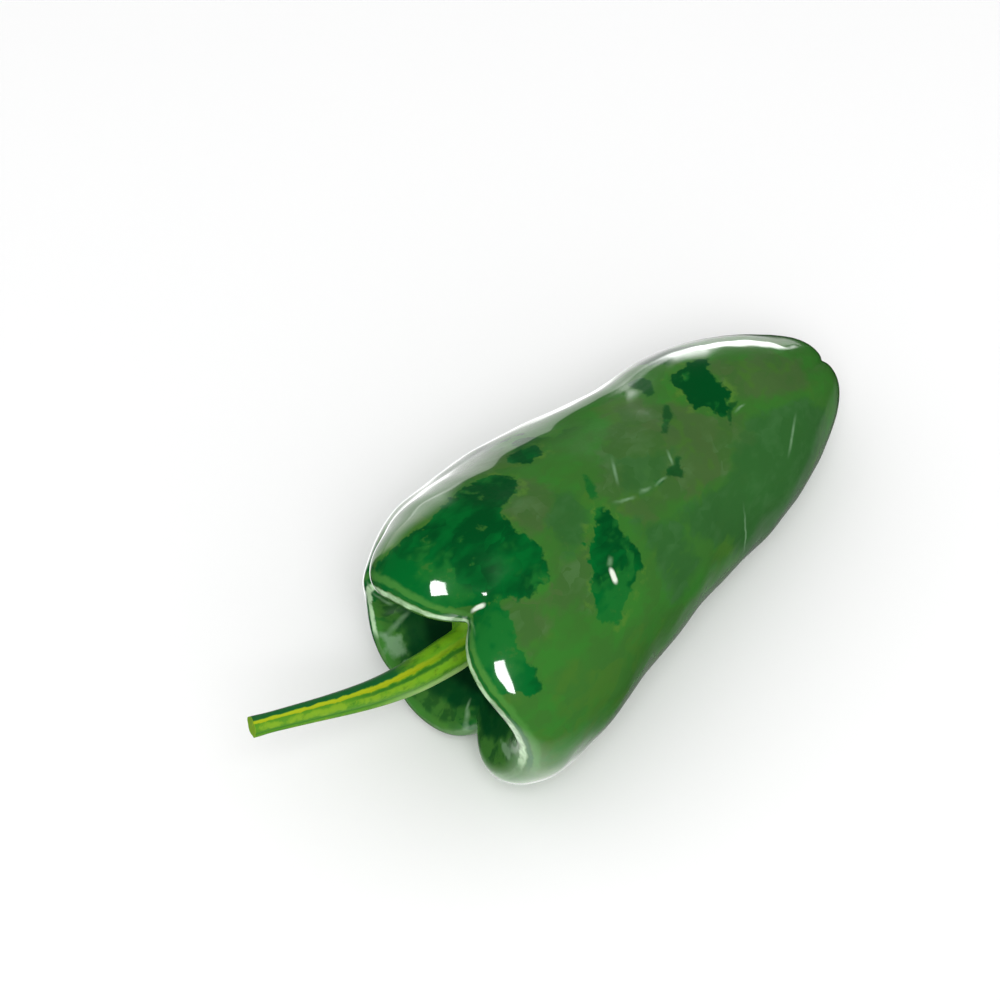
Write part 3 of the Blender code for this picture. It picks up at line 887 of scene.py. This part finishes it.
def stem_finish():
    """Ribbed stem in light greens, with a dark stripe on top, a gold line beside it and a pale low edge."""
    material, skin, shader = new_finish("stem_green")
    place = skin.place()
    up = skin.read("up_stem")
    rib = skin.read("rib")
    fibre = skin.noise(skin.drawn_out(place, 0.22), 0.0009, 3.0, 0.6) - 0.5
    mottle = skin.noise(place, 0.0026, 3.0, 0.6) - 0.5
    turn = turn_round(skin) + mottle * 0.3 + fibre * 0.2
    fresh_base = (up + mottle * 0.2).ramp(0.55, 0.20) * (fibre + mottle).ramp(-0.25, 0.10)
    rib_groove = (rib + fibre * 0.4).ramp(0.40, 0.08) * turn.ramp(-0.45, -0.70)
    pale_edge = turn.ramp(-1.35, -1.75) * turn.ramp(-2.6, -2.2) * up.ramp(0.55, 0.25)
    side_groove = turn.ramp(-0.72, -0.60) * turn.ramp(-0.38, -0.50) * up.ramp(0.64, 0.50)
    gold_line = turn.ramp(-0.42, -0.32) * turn.ramp(0.02, -0.10) * (up.ramp(0.12, 0.40) * 0.6 + 0.25)
    dark_stripe = turn.ramp(-0.08, 0.04) * turn.ramp(1.45, 1.15) * (up + mottle * 0.2).ramp(0.25, 0.42)
    colour = skin.layered(
        STEM_LIME,
        (STEM_YELLOW, (rib + mottle * 2.2).ramp(0.60, 1.15) * 0.65),
        (STEM_FRESH, fresh_base * 0.65),
        (STEM_GROOVE, rib_groove * 0.55),
        (STEM_GROOVE, (fibre * 1.2 + mottle * 0.6).ramp(-0.12, -0.35) * 0.6),
        (STEM_PALE, pale_edge * 0.7),
        (STEM_GROOVE, side_groove * 0.85),
        (STEM_GOLD, gold_line),
        (STEM_SHADE, dark_stripe * 0.95),
        (STEM_CUT, up.ramp(0.997, 1.0) * 0.8),
    )
    skin.plug(colour, shader["Base Color"])
    skin.plug(0.50 + mottle * 0.16, shader["Roughness"])
    skin.plug(skin.bump(fibre * 0.6 + mottle * 0.4, 0.00012, 0.8), shader["Normal"])
    shader["Specular IOR Level"].default_value = 0.15
    return material


def floor_finish():
    """Matt near-white board."""
    material, board, shader = new_finish("pale_floor")
    cloud = board.noise(board.place(), 0.25)
    board.plug(board.mixed(BOARD_CLOUD, BOARD_WHITE, cloud), shader["Base Color"])
    shader["Roughness"].default_value = 0.75
    shader["Specular IOR Level"].default_value = 0.0
    return material


def dress(piece, material):
    """Gives a piece its one material."""
    piece.data.materials.clear()
    piece.data.materials.append(material)


# ================================================================== floor, light and camera
def looking_back(turn, height):
    """Unit vector from the pepper towards something turned round it and raised over it."""
    level = math.cos(height)
    return Vector((math.sin(turn) * level, -math.cos(turn) * level, math.sin(height)))


def make_floor():
    """A wide level board a hair under the pepper, which the gloss doesn't mirror."""
    mesh = bpy.data.meshes.new("floor")
    half = FLOOR_SIZE / 2
    corners = [(-half, -half, 0), (half, -half, 0), (half, half, 0), (-half, half, 0)]
    mesh.from_pydata(corners, [], [(0, 1, 2, 3)])
    floor = bpy.data.objects.new("floor", mesh)
    bpy.context.scene.collection.objects.link(floor)
    floor.location.z = -FLOOR_DROP
    dress(floor, floor_finish())
    floor.visible_glossy = False


def make_camera():
    """The camera at the photograph's angle."""
    camera = bpy.data.objects.new("camera", bpy.data.cameras.new("camera"))
    camera.data.sensor_width = 36
    camera.data.lens = CAMERA_LENS
    camera.data.clip_start = 0.01
    bpy.context.scene.collection.objects.link(camera)
    back = looking_back(CAMERA_TURN, CAMERA_HEIGHT)
    right = Vector((math.cos(CAMERA_TURN), math.sin(CAMERA_TURN), 0))
    turned = Matrix((right, back.cross(right), back)).transposed().to_4x4()
    camera.matrix_world = Matrix.Translation(Vector(CAMERA_AIM) + back * CAMERA_DISTANCE) @ turned
    bpy.context.scene.camera = camera


def fade_edges(lamp, sides, low, high):
    """Dims a lamp's face towards its edges."""
    lamp.data.use_nodes = True
    glow = Finish(lamp.data.node_tree)
    face = glow.node("ShaderNodeNewGeometry", {}, {}, "Parametric")
    across = glow.node("ShaderNodeSeparateXYZ", {}, {0: face}, "X")
    up = 1 - glow.node("ShaderNodeSeparateXYZ", {}, {0: face}, "Y")
    shine = across.ramp(0.0, sides) * across.ramp(1.0, 1 - sides)
    shine = shine * up.ramp(0.0, low) * up.ramp(1.0, 1 - high)
    glow.plug(shine, lamp.data.node_tree.nodes["Emission"].inputs["Strength"])


def make_lamps():
    """The lamps, each dimmed towards its edges. The camera sees none of them."""
    for name, middle, run, shine, width, tall, brightness, fade, use in LAMPS:
        lamp = bpy.data.objects.new(name, bpy.data.lights.new(name, "AREA"))
        lamp.data.shape = "RECTANGLE"
        lamp.data.size = width
        lamp.data.size_y = tall
        lamp.data.energy = brightness * math.pi * width * tall
        lamp.visible_camera = False
        lamp.visible_diffuse = use == "lit"
        lamp.visible_glossy = use == "mirrored"
        bpy.context.scene.collection.objects.link(lamp)
        across = Vector(run).normalized()
        behind = -Vector(shine).normalized()
        turned = Matrix((across, behind.cross(across), behind)).transposed().to_4x4()
        lamp.matrix_world = Matrix.Translation(middle) @ turned
        fade_edges(lamp, *fade)


def make_room():
    """Even soft light from all round, which the gloss doesn't mirror."""
    world = bpy.data.worlds.new("room")
    world.use_nodes = True
    bpy.context.scene.world = world
    world.cycles_visibility.glossy = False
    glow = world.node_tree.nodes["Background"]
    glow.inputs["Color"].default_value = (1, 1, 1, 1)
    glow.inputs["Strength"].default_value = ROOM_LIGHT


def main():
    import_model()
    pod = make_pod()
    dress(pod, pod_finish())
    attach(pod, "root")
    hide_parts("pod")
    stem = make_stem()
    dress(stem, stem_finish())
    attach(stem, "root")
    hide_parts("stem")
    make_floor()
    make_camera()
    make_lamps()
    make_room()
    bpy.context.scene.view_settings.view_transform = "Standard"


main()
